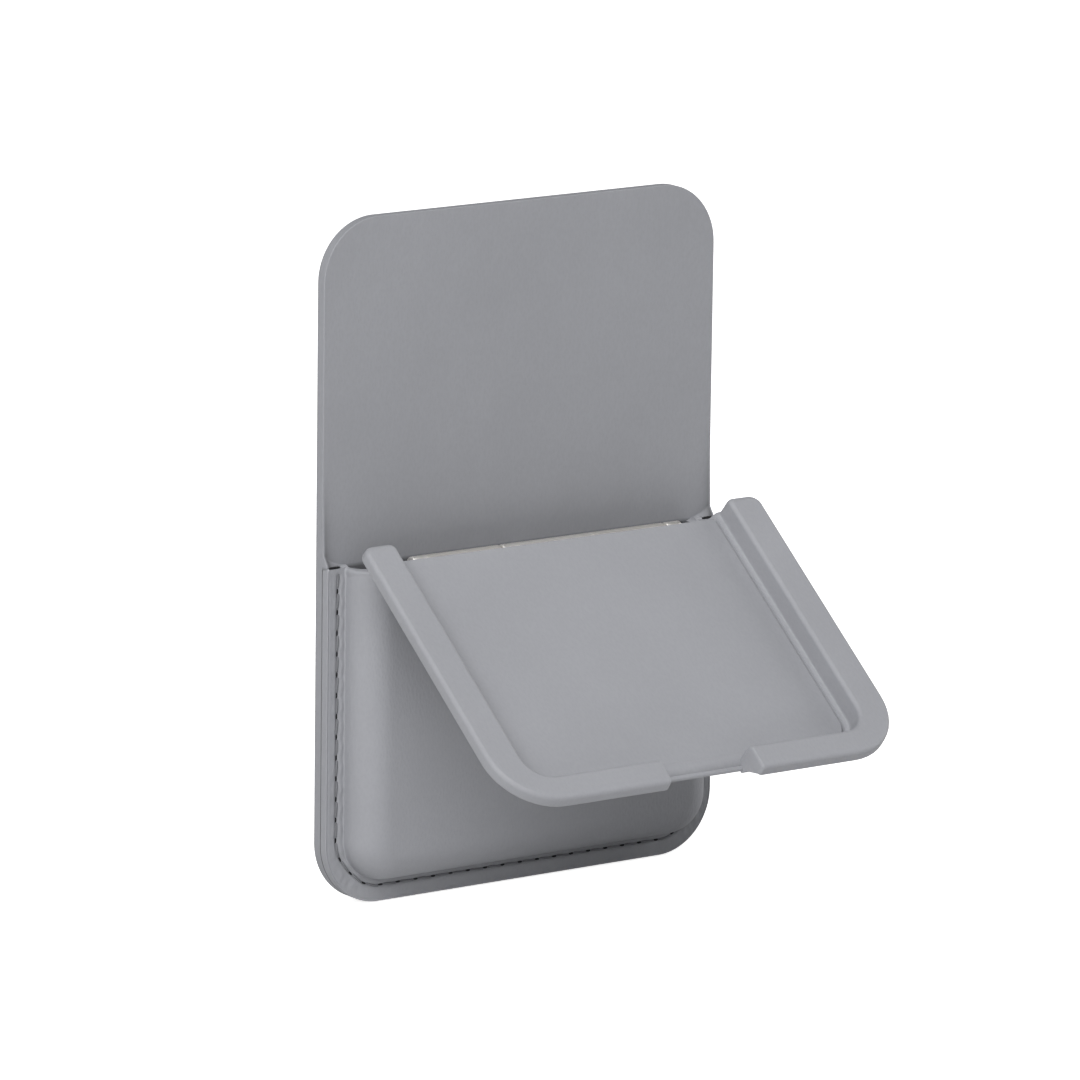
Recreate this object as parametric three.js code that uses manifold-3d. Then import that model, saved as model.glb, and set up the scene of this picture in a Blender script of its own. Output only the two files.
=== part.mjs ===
// A card wallet that clings to the back of a phone. Its lid swings down and is the foot of a stand.
// Millimetres, +Z up. The phone is behind, at +Y, and the wallet opens to the front, at -Y.
// The origin is the middle of the magnet ring, on the rear face.

import * as THREE from 'three';
import { mergeVertices } from 'three/addons/utils/BufferGeometryUtils.js';
import Module from 'manifold-3d';

const wasm = await Module();
wasm.setup();

// Cards: four of the usual bank card size, with the play they slide in
const cardWidth = 54;
const cardHeight = 85.6;
const cardThickness = 0.76;
const cardCount = 4;
const sidePlay = 1.15;
const endPlay = 0.5;
const stackPlay = 0.6;

// Walls round the cards: a stiff shell under a soft cover
const wallThickness = 2.1;
const skinThickness = 0.6;
const innerSkin = 0.4;
const glueLine = 0.06;
const cavityCorner = 3.9;
const softEdge = 4.6;
const cornerSteps = 4;
const edgeSteps = 4;
const smallEdgeSteps = 3;

// Back panel: rear cover, stiff core and front lining
const rearSkin = 0.55;
const edgeSkin = 0.3;
const coreFloor = 0.23;
const liningThickness = 0.53;
const liningGroove = 0.12;
const rearRound = 0.9;
const wrapRound = 0.25;

// Flange round the pocket, sewn to the panel, and how far the panel reaches past the cards' walls
const flangeWidth = 2.9;
const footFlange = 3.45;
const headFlange = 2.55;
const flangeThickness = 1.3;
const flangeRound = 0.45;
const flangeEndRound = 0.6;
const seamOffset = 1.2;
const seamEnd = 1.8;
const threadRadius = 0.26;
const threadSides = 6;
const threadSteps = 64;
const threadSink = 0.1;

// Lid
const lidOverhang = 0.2;
const lidHeadroom = 0.5;
const closeGap = 0.28;
const floorThickness = 3.08;
const rimThickness = 2;
const rimRound = 0.65;
const railCorner = 1.2;
const notchHalf = 7.65;
const floorRound = 1.3;
const splitGap = 0.3;
const openAngle = THREE.MathUtils.degToRad(128);

// Hinge
const axisInset = 0.1;
const barrelRadius = 1.1;
const pinRadius = 0.5;
const pinPlay = 0.08;
const leafThickness = 0.5;
const leafReach = 9;
const hingeRoom = 0.4;
const hingeInset = 2.75;
const knuckleGap = 0.15;
const endKnuckle = 2.5;
const middleKnuckle = 15.4;
const barrelSides = 20;
const stakeRadius = 1.1;
const stakePlay = 0.12;
const stakeSides = 12;

// Magnets: the ring keeps its margin from the panel's sides, and the bar fills the space below it
const ringTopMargin = 10.65;
const ringMargin = 5.35;
const ringWidth = 4.75;
const magnetCount = 16;
const magnetGap = 0.3;
const magnetSteps = 2;
const ringSides = 48;
const magnetThickness = 0.45;
const shieldThickness = 0.2;
const seatPlay = 0.12;
const alignWidth = 6;
const alignGap = 3.8;
const alignMargin = 6;
const keeperThickness = 0.4;
const lidMagnetMargin = 2.3;
const lidMagnetWall = 0.32;
const lidMagnetFloor = 0.23;

// Cuts run this far past what they cut, and hidden corners are this round
const overrun = 2;
const squareRadius = 0.2;
const quarter = Math.PI / 2;

// Sizes that follow from the cards outwards
const cavityHalf = cardWidth / 2 + sidePlay;
const cavityEnd = cardHeight / 2 + endPlay;
const cavityDepth = cardCount * cardThickness + stackPlay;
const blockHalf = cavityHalf + wallThickness;
const blockEnd = cavityEnd + wallThickness;
const blockCorner = cavityCorner + wallThickness;
const panelHalf = blockHalf + flangeWidth;
const panelLow = blockEnd + footFlange;
const panelTop = blockEnd + headFlange;
const panelCorner = blockCorner + flangeWidth;
const coreRear = rearSkin + glueLine;
const coreThickness = magnetThickness + shieldThickness + 2 * glueLine + coreFloor;
const coreFront = coreRear + coreThickness;
const panelThickness = coreFront + glueLine + liningThickness;
const frontDepth = panelThickness + cavityDepth + floorThickness;
const axisDepth = frontDepth - axisInset;
const skinRoom = skinThickness + glueLine;
const innerRoom = innerSkin + glueLine;
const pocketTop = -splitGap / 2;
const ringOuter = panelHalf - ringMargin;
const ringInner = ringOuter - ringWidth;
const ringRise = panelTop - ringOuter - ringTopMargin;
const hingeHalf = blockHalf - softEdge - hingeInset;
const hingeRelief = barrelRadius + hingeRoom;
const lidHalf = panelHalf + lidOverhang;
const lidCorner = panelCorner + lidOverhang;

// Materials
const leather = { color: 0x93969b, roughness: 0.62, metalness: 0 };
const lining = { color: 0x9a9ca1, roughness: 0.6, metalness: 0 };
const board = { color: 0x5d6064, roughness: 0.7, metalness: 0 };
const steel = { color: 0xc9c4b8, roughness: 0.32, metalness: 1 };
const nickel = { color: 0xb8bbbd, roughness: 0.25, metalness: 1 };
const thread = { color: 0x34363a, roughness: 0.8, metalness: 0 };

const wallet = new THREE.Group();
const back = new THREE.Group();
const lid = new THREE.Group();
wallet.position.z = -ringRise;
lid.position.y = -axisDepth;
lid.rotation.x = openAngle;
wallet.add(back, lid);

// Solids and meshes
function toSolid(geometry) {
  const bare = geometry.index ? geometry.toNonIndexed() : geometry.clone();
  for (const name of ['normal', 'uv']) {
    bare.deleteAttribute(name);
  }
  const merged = mergeVertices(bare);
  return new wasm.Manifold(new wasm.Mesh({
    numProp: 3,
    vertProperties: new Float32Array(merged.attributes.position.array),
    triVerts: new Uint32Array(merged.index.array),
  }));
}

function toGeometry(solid) {
  const mesh = solid.getMesh();
  const geometry = new THREE.BufferGeometry();
  geometry.setAttribute('position', new THREE.BufferAttribute(mesh.vertProperties, 3));
  geometry.setIndex(new THREE.BufferAttribute(mesh.triVerts, 1));
  geometry.computeVertexNormals();
  return geometry;
}

function join(...solids) {
  return solids.reduce((whole, solid) => whole.add(solid));
}

function cut(body, ...tools) {
  return tools.reduce((rest, tool) => rest.subtract(tool), body);
}

function addPiece(group, name, solid, finish) {
  const mesh = new THREE.Mesh(toGeometry(solid), new THREE.MeshStandardMaterial(finish));
  mesh.name = name;
  group.add(mesh);
}

// A box between two corners
function box(x0, x1, y0, y1, z0, z1) {
  const geometry = new THREE.BoxGeometry(x1 - x0, y1 - y0, z1 - z0);
  geometry.translate((x0 + x1) / 2, (y0 + y1) / 2, (z0 + z1) / 2);
  return toSolid(geometry);
}

// A rod along X
function rodX(radius, length, x, sides) {
  const geometry = new THREE.CylinderGeometry(radius, radius, length, sides);
  geometry.rotateZ(quarter);
  geometry.translate(x, 0, 0);
  return toSolid(geometry);
}

// A peg along Y
function pegY(radius, rear, front, x, z, sides) {
  const geometry = new THREE.CylinderGeometry(radius, radius, rear - front, sides);
  geometry.translate(x, (rear + front) / 2, z);
  return toSolid(geometry);
}

// A rectangle with round corners, as wide as twice half, from low to high
function outline(half, low, high, lowRadius, highRadius) {
  const shape = new THREE.Shape();
  shape.absarc(half - lowRadius, low + lowRadius, lowRadius, -quarter, 0);
  shape.absarc(half - highRadius, high - highRadius, highRadius, 0, quarter);
  shape.absarc(highRadius - half, high - highRadius, highRadius, quarter, 2 * quarter);
  shape.absarc(lowRadius - half, low + lowRadius, lowRadius, 2 * quarter, 3 * quarter);
  return shape;
}

// A solid through sections that lie across Y, listed from the rear to the front
function loft(sections) {
  const positions = [];
  const index = [];
  const rings = sections.map(([shape, y]) => shape.getPoints(cornerSteps).map((p) => [p.x, y, p.y]));
  const count = rings[0].length;
  for (const ring of rings) {
    for (const point of ring) {
      positions.push(...point);
    }
  }
  for (let ring = 0; ring + 1 < rings.length; ring += 1) {
    for (let i = 0; i < count; i += 1) {
      const a = ring * count + i;
      const b = ring * count + (i + 1) % count;
      index.push(a, b, b + count, a, b + count, a + count);
    }
  }
  const last = (rings.length - 1) * count;
  const face = (ring) => ring.map(([x, , z]) => new THREE.Vector2(x, z));
  for (const [a, b, c] of THREE.ShapeUtils.triangulateShape(face(rings[0]), [])) {
    index.push(a, c, b);
  }
  for (const [a, b, c] of THREE.ShapeUtils.triangulateShape(face(rings.at(-1)), [])) {
    index.push(last + a, last + b, last + c);
  }
  const geometry = new THREE.BufferGeometry();
  geometry.setAttribute('position', new THREE.Float32BufferAttribute(positions, 3));
  geometry.setIndex(index);
  return toSolid(geometry);
}

// The steps of a quarter round, from the flat face in to the full outline
function quarterRound(radius, steps) {
  if (radius === 0) {
    return [{ inset: 0, depth: 0 }];
  }
  return Array.from({ length: steps + 1 }, (_, i) => {
    const angle = quarter * i / steps;
    return { inset: radius * (1 - Math.sin(angle)), depth: radius * (1 - Math.cos(angle)) };
  });
}

// A plate whose outline is frame(inset), with its rear and front edges rounded
function plate(frame, rear, front, rearEdge, frontEdge, steps) {
  const rearSections = quarterRound(rearEdge, steps).map(
    ({ inset, depth }) => [frame(inset), rear - depth],
  );
  const frontSections = quarterRound(frontEdge, steps).reverse().map(
    ({ inset, depth }) => [frame(inset), front + depth],
  );
  return loft([...rearSections, ...frontSections]);
}

// A flat ring, or an arc of one, that lies across Y
function ringPlate(inner, outer, rear, front, start, end, steps) {
  const shape = new THREE.Shape();
  shape.absarc(0, 0, outer, start, end, false);
  shape.absarc(0, 0, inner, end, start, true);
  const geometry = new THREE.ExtrudeGeometry(shape, {
    depth: rear - front,
    bevelEnabled: false,
    curveSegments: steps,
  });
  geometry.rotateX(quarter);
  geometry.translate(0, rear, 0);
  return toSolid(geometry);
}

function fullRing(inner, outer, rear, front) {
  const outerDisc = pegY(outer, rear, front, 0, 0, ringSides);
  const innerDisc = pegY(inner, rear + overrun, front - overrun, 0, 0, ringSides);
  return cut(outerDisc, innerDisc);
}

// Back panel
const panelFrame = (inset) => outline(
  panelHalf - inset,
  inset - panelLow,
  panelTop - inset,
  panelCorner - inset,
  panelCorner - inset,
);
const insidePanel = (margin) => (inset) => panelFrame(margin + inset);

const trayRoom = plate(insidePanel(edgeSkin), -rearSkin, -panelThickness - overrun, 0, 0, smallEdgeSteps);
const rearTray = plate(panelFrame, 0, -panelThickness, rearRound, wrapRound, smallEdgeSteps);
addPiece(back, 'rear_skin', cut(rearTray, trayRoom), leather);

// Seats in the core: the ring and its shield, the bar below it and the keepers
const ringSeatFront = -coreRear - magnetThickness - glueLine - shieldThickness - glueLine;
const barTop = ringRise - ringOuter - alignGap;
const barLow = edgeSkin + glueLine + alignMargin - panelLow;
const barFront = -coreRear - magnetThickness;
const lidTop = panelTop - lidHeadroom;
const lidMagnetStart = notchHalf + lidMagnetMargin;
const lidMagnetEnd = lidHalf - lidCorner - lidMagnetMargin;
const lidMagnetLength = lidMagnetEnd - lidMagnetStart;
const lidMagnetOffset = (lidMagnetEnd + lidMagnetStart) / 2;
const lidMagnetWidth = lidTop - cavityEnd - skinRoom - innerRoom - 2 * lidMagnetWall;
const lidMagnetRise = (lidTop - skinRoom + cavityEnd + innerRoom) / 2;
const lidMagnetThickness = rimThickness - 2 * skinRoom - lidMagnetFloor;
const keeperLow = lidMagnetRise - lidMagnetWidth / 2;
const keeperHigh = lidMagnetRise + lidMagnetWidth / 2;
const keeperRear = -coreFront + keeperThickness;

const ringSeat = fullRing(ringInner - seatPlay, ringOuter + seatPlay, -coreRear + overrun, ringSeatFront)
  .translate([0, 0, ringRise]);
const barSeat = box(
  -alignWidth / 2 - seatPlay,
  alignWidth / 2 + seatPlay,
  barFront - glueLine,
  -coreRear + overrun,
  barLow - seatPlay,
  barTop + seatPlay,
);
const keeperSeat = (side) => box(
  side * lidMagnetOffset - lidMagnetLength / 2 - seatPlay,
  side * lidMagnetOffset + lidMagnetLength / 2 + seatPlay,
  -coreFront - overrun,
  keeperRear + glueLine,
  keeperLow - seatPlay,
  keeperHigh + seatPlay,
);
const core = plate(insidePanel(edgeSkin + glueLine), -coreRear, -coreFront, 0, 0, smallEdgeSteps);
addPiece(back, 'panel_core', cut(core, ringSeat, barSeat, keeperSeat(-1), keeperSeat(1)), board);

const arc = 4 * quarter / magnetCount;
const arcGap = magnetGap / ringInner;
for (let i = 0; i < magnetCount; i += 1) {
  const start = i * arc + arcGap / 2;
  const magnet = ringPlate(ringInner, ringOuter, -coreRear, barFront, start, start + arc - arcGap, magnetSteps)
    .translate([0, 0, ringRise]);
  addPiece(back, `ring_magnet_${String(i + 1).padStart(2, '0')}`, magnet, nickel);
}

const shieldRear = barFront - glueLine;
const shield = fullRing(ringInner, ringOuter, shieldRear, shieldRear - shieldThickness)
  .translate([0, 0, ringRise]);
addPiece(back, 'ring_shield', shield, steel);

const bar = box(-alignWidth / 2, alignWidth / 2, barFront, -coreRear, barLow, barTop);
addPiece(back, 'alignment_magnet', bar, nickel);

for (const [name, side] of [['keeper_left', -1], ['keeper_right', 1]]) {
  const middle = side * lidMagnetOffset;
  const keeper = box(
    middle - lidMagnetLength / 2,
    middle + lidMagnetLength / 2,
    -coreFront,
    keeperRear,
    keeperLow,
    keeperHigh,
  );
  addPiece(back, name, keeper, steel);
}

const liningRear = -coreFront - glueLine;
const liningPlate = plate(
  insidePanel(edgeSkin + liningGroove),
  liningRear,
  -panelThickness,
  0,
  wrapRound,
  smallEdgeSteps,
);
addPiece(back, 'panel_lining', liningPlate, lining);

// Pocket: a soft cover with a sewn flange over a stiff shell
const pocketRear = -panelThickness - glueLine;
const pocketFrame = (half, end, corner, top) => (inset) => outline(
  half - inset,
  inset - end,
  top,
  corner - inset,
  squareRadius,
);
const flangeFrame = (inset) => outline(
  panelHalf - inset,
  inset - panelLow,
  pocketTop - inset,
  panelCorner - inset,
  flangeEndRound,
);
const pocketBlock = (margin, top) => plate(
  pocketFrame(blockHalf - margin, blockEnd - margin, blockCorner - margin, top),
  margin > 0 ? pocketRear + overrun : pocketRear,
  margin - frontDepth,
  0,
  softEdge - margin,
  edgeSteps,
);
const pocketCavity = plate(
  pocketFrame(cavityHalf, cavityEnd, cavityCorner, pocketTop + overrun),
  pocketRear + 2 * overrun,
  -panelThickness - cavityDepth,
  0,
  softEdge - wallThickness,
  edgeSteps,
);
const mouthRelief = box(
  -cavityHalf,
  cavityHalf,
  -frontDepth - overrun,
  pocketRear,
  -hingeRelief,
  pocketTop + overrun,
);
const flangeFront = pocketRear - flangeThickness;
const flange = plate(flangeFrame, pocketRear, flangeFront, 0, flangeRound, smallEdgeSteps);

// The seam runs down one side of the flange, along the bottom and up the other
function seamPath(depth) {
  const half = blockHalf + seamOffset;
  const low = -blockEnd - seamOffset;
  const top = pocketTop - seamEnd;
  const radius = blockCorner + seamOffset;
  const flat = new THREE.Path();
  flat.moveTo(-half, top);
  flat.lineTo(-half, low + radius);
  flat.absarc(radius - half, low + radius, radius, 2 * quarter, 3 * quarter, false);
  flat.lineTo(half - radius, low);
  flat.absarc(half - radius, low + radius, radius, -quarter, 0, false);
  flat.lineTo(half, top);
  const points = flat.getSpacedPoints(threadSteps);
  return new THREE.CatmullRomCurve3(points.map((p) => new THREE.Vector3(p.x, depth, p.y)));
}

function seamTube(radius, depth) {
  const section = new THREE.Shape();
  section.absarc(0, 0, radius, 0, 4 * quarter);
  return toSolid(new THREE.ExtrudeGeometry(section, {
    steps: threadSteps,
    curveSegments: threadSides / 2,
    extrudePath: seamPath(depth),
  }));
}

const seamDepth = flangeFront - threadSink + threadRadius;
const pocketSkin = cut(
  join(flange, pocketBlock(0, pocketTop)),
  pocketBlock(skinThickness, pocketTop - skinThickness),
  pocketCavity,
  mouthRelief,
  seamTube(threadRadius + glueLine, seamDepth),
);
addPiece(back, 'pocket_skin', pocketSkin, leather);
addPiece(back, 'seam_thread', seamTube(threadRadius, seamDepth), thread);

// Hinge: the leaves lie against the shells' outer side, under the soft cover
const leafFront = barrelRadius - leafThickness;
const leafRear = barrelRadius;
const leafStart = barrelRadius + knuckleGap;
const lidKnuckle = hingeHalf - endKnuckle - middleKnuckle / 2 - 2 * knuckleGap;
const innerKnuckleX = (middleKnuckle + lidKnuckle) / 2 + knuckleGap;
const endKnuckleX = hingeHalf - endKnuckle / 2;
const pocketKnuckles = [[-endKnuckleX, endKnuckle], [0, middleKnuckle], [endKnuckleX, endKnuckle]];
const lidKnuckles = [[-innerKnuckleX, lidKnuckle], [innerKnuckleX, lidKnuckle]];
const stakeXs = [-innerKnuckleX, 0, innerKnuckleX];
const stakeZ = (leafStart + leafReach) / 2;

// A leaf round its own axis, reaching to +Z or -Z
function hingeLeaf(knuckles, side) {
  const span = (z0, z1) => (side > 0 ? [z0, z1] : [-z1, -z0]);
  let leaf = box(-hingeHalf, hingeHalf, leafFront, leafRear, ...span(leafStart, leafReach));
  for (const [x, length] of knuckles) {
    const web = box(
      x - length / 2,
      x + length / 2,
      leafFront,
      leafRear,
      ...span(0, leafStart + leafThickness),
    );
    leaf = join(leaf, web, rodX(barrelRadius, length, x, barrelSides));
  }
  const bore = rodX(pinRadius + pinPlay, 2 * hingeHalf + overrun, 0, barrelSides);
  const holes = stakeXs.map((x) => pegY(
    stakeRadius + stakePlay,
    leafRear + overrun,
    leafFront - overrun,
    x,
    side * stakeZ,
    stakeSides,
  ));
  return cut(leaf, bore, ...holes);
}

// The seat of a leaf in a shell, with the stakes that come up through its holes
function seatLeaf(shell, side) {
  const far = side * (leafReach + glueLine);
  const near = side * -overrun;
  const seat = box(
    -hingeHalf - glueLine,
    hingeHalf + glueLine,
    -overrun,
    leafRear + glueLine,
    Math.min(far, near),
    Math.max(far, near),
  );
  const stakes = stakeXs.map((x) => pegY(
    stakeRadius,
    leafRear + 2 * glueLine,
    leafFront,
    x,
    side * stakeZ,
    stakeSides,
  ));
  return join(cut(shell, seat), ...stakes);
}

const toHinge = [0, axisDepth, 0];
const fromHinge = [0, -axisDepth, 0];
const pocketShellBlock = plate(
  pocketFrame(blockHalf - skinRoom, blockEnd - skinRoom, blockCorner - skinRoom, pocketTop - skinRoom),
  pocketRear,
  skinRoom - frontDepth,
  0,
  softEdge - skinRoom,
  edgeSteps,
);
const pocketShell = seatLeaf(
  cut(pocketShellBlock, pocketCavity, mouthRelief).translate(toHinge),
  -1,
).translate(fromHinge);
addPiece(back, 'pocket_shell', pocketShell, board);
addPiece(back, 'hinge_leaf_pocket', hingeLeaf(pocketKnuckles, -1).translate(fromHinge), steel);
addPiece(back, 'hinge_pin', rodX(pinRadius, 2 * hingeHalf, 0, barrelSides).translate(fromHinge), nickel);

// Lid, drawn closed round the hinge axis: +Z is away from the hinge and +Y goes to the panel
const lidFront = -axisInset;
const lidTip = axisDepth - panelThickness - closeGap;
const lidFloor = floorThickness - axisInset;
const lidLow = splitGap / 2;
const rimFront = lidTip - rimThickness;

const lidFrame = (half, top, corner, low, lowRadius) => (inset) => outline(
  half - inset,
  low,
  top - inset,
  lowRadius,
  corner - inset,
);

// The tray's outside, drawn in by a margin for the pieces inside its cover
function trayBody(margin) {
  const block = plate(
    lidFrame(blockHalf - margin, blockEnd - margin, blockCorner - margin, lidLow + margin, squareRadius),
    (lidTip + rimFront) / 2,
    lidFront + margin,
    0,
    softEdge - margin,
    edgeSteps,
  );
  const rimEdge = rimRound - margin > 0 ? rimRound - margin : 0;
  const rim = plate(
    (inset) => outline(
      lidHalf - margin - inset,
      lidLow + margin + inset,
      lidTop - margin - inset,
      railCorner - inset,
      lidCorner - margin - inset,
    ),
    lidTip - margin,
    rimFront + margin,
    rimEdge,
    rimEdge,
    smallEdgeSteps,
  );
  return join(block, rim);
}

// The hollow over the floor, open at the hinge end, with its mouth and its floor rounded.
// It is drawn out by a margin for the pieces inside the cover
function trayHollow(margin, floor, mouthEdge, floorEdge) {
  const frame = lidFrame(
    cavityHalf + margin,
    cavityEnd + margin,
    cavityCorner + margin,
    -overrun,
    squareRadius,
  );
  const mouth = quarterRound(mouthEdge, smallEdgeSteps).map(
    ({ inset, depth }) => [frame(-inset), lidTip - depth],
  );
  const base = quarterRound(floorEdge, smallEdgeSteps).reverse().map(
    ({ inset, depth }) => [frame(inset), floor + depth],
  );
  return loft([[frame(-mouthEdge), lidTip + overrun], ...mouth, ...base]);
}

// The thumb notch in the front rim, drawn out by a margin
function notch(margin) {
  return box(
    -notchHalf - margin,
    notchHalf + margin,
    lidFloor - margin,
    lidTip + overrun,
    cavityEnd - overrun,
    lidTop + overrun,
  );
}

const floorRelief = box(
  -cavityHalf,
  cavityHalf,
  lidFront - overrun,
  lidTip + overrun,
  -overrun,
  hingeRelief,
);

// The stiff tray, or with room the space that it takes in the cover
const coverFloor = lidFloor - liningThickness - glueLine;
const shellFloor = coverFloor - innerRoom;
function shellTray(room) {
  const margin = innerRoom - room;
  return cut(
    trayBody(skinRoom - room),
    trayHollow(margin, shellFloor + room, 0, floorRound + margin),
    notch(skinRoom - room),
    floorRelief,
  );
}

const magnetRear = lidTip - skinRoom;
const lidMagnetBox = (side, play, rear) => box(
  side * lidMagnetOffset - lidMagnetLength / 2 - play,
  side * lidMagnetOffset + lidMagnetLength / 2 + play,
  magnetRear - lidMagnetThickness - play / 2,
  rear,
  lidMagnetRise - lidMagnetWidth / 2 - play,
  lidMagnetRise + lidMagnetWidth / 2 + play,
);
const lidShell = cut(
  seatLeaf(shellTray(0), 1),
  lidMagnetBox(-1, seatPlay, magnetRear + overrun),
  lidMagnetBox(1, seatPlay, magnetRear + overrun),
);
addPiece(lid, 'lid_shell', lidShell, board);
addPiece(lid, 'lid_magnet_left', lidMagnetBox(-1, 0, magnetRear), nickel);
addPiece(lid, 'lid_magnet_right', lidMagnetBox(1, 0, magnetRear), nickel);
addPiece(lid, 'hinge_leaf_lid', hingeLeaf(lidKnuckles, 1), steel);

const lidSkin = cut(
  trayBody(0),
  shellTray(glueLine),
  trayHollow(0, coverFloor, rimRound, floorRound),
  notch(0),
  floorRelief,
);
addPiece(lid, 'lid_skin', lidSkin, leather);

const lidLining = plate(
  (inset) => outline(
    cavityHalf - floorRound - inset,
    hingeRelief + inset,
    cavityEnd - floorRound - inset,
    squareRadius + wrapRound,
    cavityCorner - floorRound - inset,
  ),
  lidFloor,
  lidFloor - liningThickness,
  wrapRound,
  0,
  smallEdgeSteps,
);
addPiece(lid, 'lid_lining', lidLining, lining);

export default wallet;
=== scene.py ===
import math

import bmesh
import bpy
import numpy as np
from mathutils import Matrix, Vector


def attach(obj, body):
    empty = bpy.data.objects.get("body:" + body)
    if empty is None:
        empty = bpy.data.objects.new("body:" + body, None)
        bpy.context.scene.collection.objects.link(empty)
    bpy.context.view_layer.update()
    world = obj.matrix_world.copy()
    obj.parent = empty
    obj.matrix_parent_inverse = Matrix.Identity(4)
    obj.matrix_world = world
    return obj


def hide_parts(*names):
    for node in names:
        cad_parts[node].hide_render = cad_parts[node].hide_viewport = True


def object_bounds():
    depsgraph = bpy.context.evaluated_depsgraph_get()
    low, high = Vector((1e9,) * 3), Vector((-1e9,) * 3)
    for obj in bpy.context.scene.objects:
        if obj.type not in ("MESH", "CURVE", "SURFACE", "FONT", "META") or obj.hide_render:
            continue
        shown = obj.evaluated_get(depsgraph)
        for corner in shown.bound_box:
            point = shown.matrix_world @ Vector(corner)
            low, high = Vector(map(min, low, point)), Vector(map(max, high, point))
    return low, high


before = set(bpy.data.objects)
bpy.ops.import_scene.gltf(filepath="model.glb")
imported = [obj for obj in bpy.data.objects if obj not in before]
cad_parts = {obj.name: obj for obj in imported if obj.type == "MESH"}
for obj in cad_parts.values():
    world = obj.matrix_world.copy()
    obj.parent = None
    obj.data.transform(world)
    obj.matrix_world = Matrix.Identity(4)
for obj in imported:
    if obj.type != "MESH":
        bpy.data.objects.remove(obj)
cad_box = [list(v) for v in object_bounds()]

# Sizes in millimetres. Heights are counted from the hinge line, depths forwards from the rear face
MM = 0.001
MERGE = 1e-4
RING_RISE = 9.5
PANEL_HALF = 33.15
PANEL_LOW = 48.85
PANEL_TOP = 47.95
PANEL_CORNER = 8.9
PANEL_DEPTH = 2.2
REAR_ROUND = 0.9
POCKET_REAR = 2.26
FLANGE_FRONT = 3.56
FRONT_DEPTH = 8.92
BLOCK_HALF = 30.25
BLOCK_END = 45.4
BLOCK_CORNER = 6.0
SOFT_EDGE = 4.6
CAVITY_HALF = 28.15
CAVITY_END = 43.3
CAVITY_CORNER = 3.9
CAVITY_FRONT = 5.84
POCKET_TOP = -0.62
MOUTH_FRONT = -0.6
FLANGE_HIGH = -0.25
RELIEF = 1.5
AXIS_DEPTH = 8.82
OPEN_ANGLE = math.radians(128)
# Lid: lengths are counted out from the hinge line, depths from the hinge's axis
LID_FRONT = -0.1
LID_TIP = 6.34
LID_FLOOR = 2.98
COVER_FLOOR = 2.39
LID_LOW = 0.4
LID_TOP = 47.45
LID_HALF = 33.6
LID_INSIDE = 28.4
LID_ASIDE = 0.25
LID_CORNER = 9.1
RIM_FRONT = 4.3
RIM_UNDER = 0.42
RIM_ROUND = 0.65
NOTCH_HALF = 7.65
FLOOR_ROUND = 1.3
BARREL = 1.1
HINGE_HALF = 22.9
END_KNUCKLE = 2.5
MIDDLE_KNUCKLE = 15.4
LID_KNUCKLE = 12.4
KNUCKLE_GAP = 0.15

LID_PLACE = (
    Matrix.Translation((-LID_ASIDE * MM, -AXIS_DEPTH * MM, -RING_RISE * MM))
    @ Matrix.Rotation(OPEN_ANGLE, 4, "X")
)
BACK_PLACE = Matrix.Translation((0, 0, -RING_RISE * MM))
HINGE_PLACE = Matrix.Translation((0, -AXIS_DEPTH * MM, -RING_RISE * MM))


# Outlines and lofts
def arc(cx, cz, radius, start, end, steps):
    """Points on an arc, from one angle to the other, in degrees."""
    return [
        (cx + radius * math.cos(math.radians(a)), cz + radius * math.sin(math.radians(a)))
        for a in np.linspace(start, end, steps + 1)
    ]


def rect(half, low, high, low_radius, high_radius, steps=14):
    """A rectangle with round corners, anticlockwise from its lower right corner."""
    low_radius, high_radius = max(low_radius, 0.01), max(high_radius, 0.01)
    return (
        arc(half - low_radius, low + low_radius, low_radius, -90, 0, steps)
        + arc(half - high_radius, high - high_radius, high_radius, 0, 90, steps)
        + arc(high_radius - half, high - high_radius, high_radius, 90, 180, steps)
        + arc(low_radius - half, low + low_radius, low_radius, 180, 270, steps)
    )


def quarter_round(radius, steps):
    """Inset and depth from the flat face in to the full outline."""
    angles = [math.pi / 2 * i / steps for i in range(steps + 1)]
    return [(radius * (1 - math.sin(a)), radius * (1 - math.cos(a))) for a in angles]


def smooth_step(value, low, high):
    """From 0 at the low value to 1 at the high one, smoothly."""
    t = min(max((value - low) / (high - low), 0.0), 1.0)
    return t * t * (3 - 2 * t)


def bell(value, middle, width):
    """1 at the middle, falling away on both sides."""
    return math.exp(-(((value - middle) / width) ** 2))


def skin(bm, rows):
    """Faces between rows of points that follow each other, with a cap at both ends."""
    rows = [[bm.verts.new(point) for point in row] for row in rows]
    count = len(rows[0])
    for lower, upper in zip(rows, rows[1:]):
        for i in range(count):
            j = (i + 1) % count
            bm.faces.new((lower[i], lower[j], upper[j], upper[i]))
    bm.faces.new(rows[0])
    bm.faces.new(rows[-1])


def loft(rings):
    """A closed surface through loops of (x, y, z) points."""
    bm = bmesh.new()
    skin(bm, rings)
    bmesh.ops.remove_doubles(bm, verts=bm.verts, dist=MERGE)
    bmesh.ops.dissolve_degenerate(bm, edges=bm.edges, dist=MERGE)
    bmesh.ops.recalc_face_normals(bm, faces=bm.faces)
    return bm


def loft_flat(rings):
    """The same through loops of (x, z) points, each at its own y."""
    return loft([[(x, y, z) for x, z in loop] for loop, y in rings])


def prism(rows):
    """A closed block through rows of points."""
    bm = bmesh.new()
    skin(bm, rows)
    bmesh.ops.recalc_face_normals(bm, faces=bm.faces)
    return bm


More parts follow.
